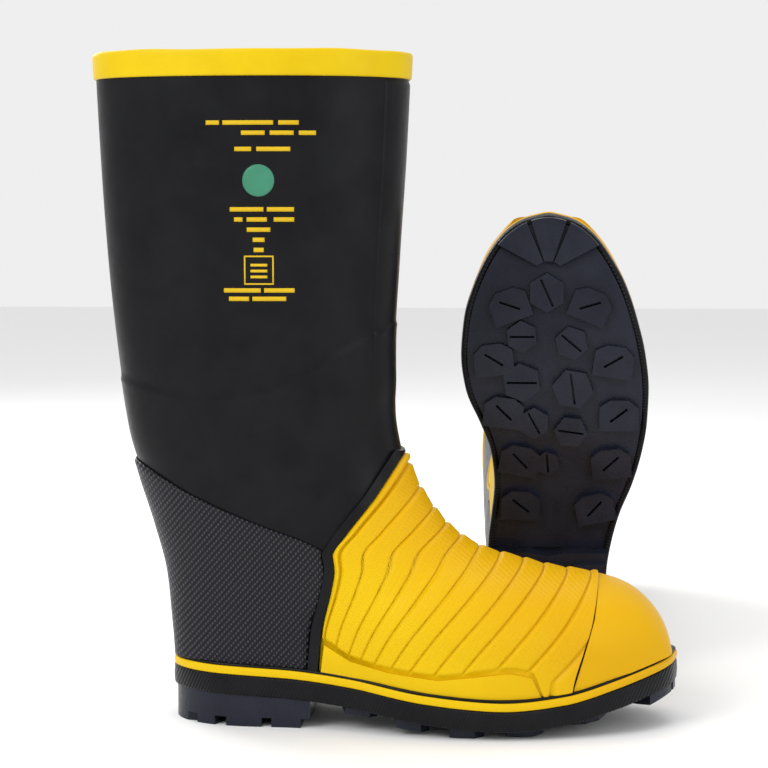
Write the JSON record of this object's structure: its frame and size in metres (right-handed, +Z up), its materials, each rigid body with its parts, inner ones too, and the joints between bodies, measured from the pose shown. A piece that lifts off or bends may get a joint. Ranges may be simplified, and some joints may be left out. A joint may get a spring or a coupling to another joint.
{
  "type": "fire boots",
  "caption": "Pair of knee-high black rubber safety boots with a ribbed vamp, toe cover and rim binding in yellow; one stands, one lies with its tread showing.",
  "frame": {"origin": "centre of the standing right boot's heel seat, on the ground", "axes": "+Z up, +X from heel to toe of the right boot, -Y to its lateral side; the left boot lies behind it on +Y"},
  "size_m": [0.3594, 0.5863, 0.409],
  "materials": {
    "black_rubber": "satin moulded rubber",
    "sole_rubber": "semi-gloss nitrile rubber",
    "yellow_rubber": "satin moulded rubber",
    "lining": "brushed felt",
    "footbed": "felt-topped foam",
    "foam": "sponge rubber",
    "steel": "coated steel",
    "guard_plastic": "moulded plastic",
    "board": "pressed fibre board"
  },
  "bodies": {
    "right_foot": {"right_outsole": "sole_rubber", "right_heel_block": "sole_rubber", "right_heel_filler": "foam", "right_steel_shank": "steel", "right_rand": "sole_rubber", "right_yellow_stripe": "yellow_rubber", "right_stripe_piping": "black_rubber", "right_foot_shell": "black_rubber", "right_ribbed_vamp": "yellow_rubber", "right_lateral_side_guard": "yellow_rubber", "right_medial_side_guard": "yellow_rubber", "right_toe_cover": "yellow_rubber", "right_vamp_piping": "black_rubber", "right_heel_patch": "black_rubber", "right_steel_toe_cap": "steel", "right_toe_cap_gasket": "foam", "right_metatarsal_guard": "guard_plastic", "right_heel_counter": "guard_plastic", "right_foot_lining": "lining", "right_steel_midsole": "steel", "right_insole_board": "board"},
    "right_leg": {"right_leg_shell": "black_rubber", "right_leg_lining": "lining", "right_shin_panel": "black_rubber", "right_top_binding": "yellow_rubber"},
    "right_footbed": {"right_insole": "footbed"},
    "left_foot": {"left_outsole": "sole_rubber", "left_heel_block": "sole_rubber", "left_heel_filler": "foam", "left_steel_shank": "steel", "left_rand": "sole_rubber", "left_yellow_stripe": "yellow_rubber", "left_stripe_piping": "black_rubber", "left_foot_shell": "black_rubber", "left_ribbed_vamp": "yellow_rubber", "left_lateral_side_guard": "yellow_rubber", "left_medial_side_guard": "yellow_rubber", "left_toe_cover": "yellow_rubber", "left_vamp_piping": "black_rubber", "left_heel_patch": "black_rubber", "left_steel_toe_cap": "steel", "left_toe_cap_gasket": "foam", "left_metatarsal_guard": "guard_plastic", "left_heel_counter": "guard_plastic", "left_foot_lining": "lining", "left_steel_midsole": "steel", "left_insole_board": "board"},
    "left_leg": {"left_leg_shell": "black_rubber", "left_leg_lining": "lining", "left_shin_panel": "black_rubber", "left_top_binding": "yellow_rubber"},
    "left_footbed": {"left_insole": "footbed"}
  },
  "joints": [
    {"name": "right_ankle_flex", "type": "hinge", "parent": "right_foot", "child": "right_leg", "pos_m": [0.02, 0, 0.12], "axis": [0, 1, 0], "range_deg": [-10, 15], "stiffness_Nm_per_rad": 35},
    {"name": "right_insole_lift", "type": "slide", "parent": "right_foot", "child": "right_footbed", "axis": [0, 0, 1], "range_m": [0, 0.012]},
    {"name": "left_boot_lift", "type": "slide", "parent": "right_foot", "child": "left_foot", "axis": [0, 0, 1], "range_m": [0, 0.3]},
    {"name": "left_ankle_flex", "type": "hinge", "parent": "left_foot", "child": "left_leg", "pos_m": [0.19, 0.21939, 0.07807], "axis": [1, 0, 0], "range_deg": [-10, 15], "stiffness_Nm_per_rad": 35},
    {"name": "left_insole_lift", "type": "slide", "parent": "left_foot", "child": "left_footbed", "axis": [0, 0.9877, 0.1564], "range_m": [0, 0.012]}
  ]
}
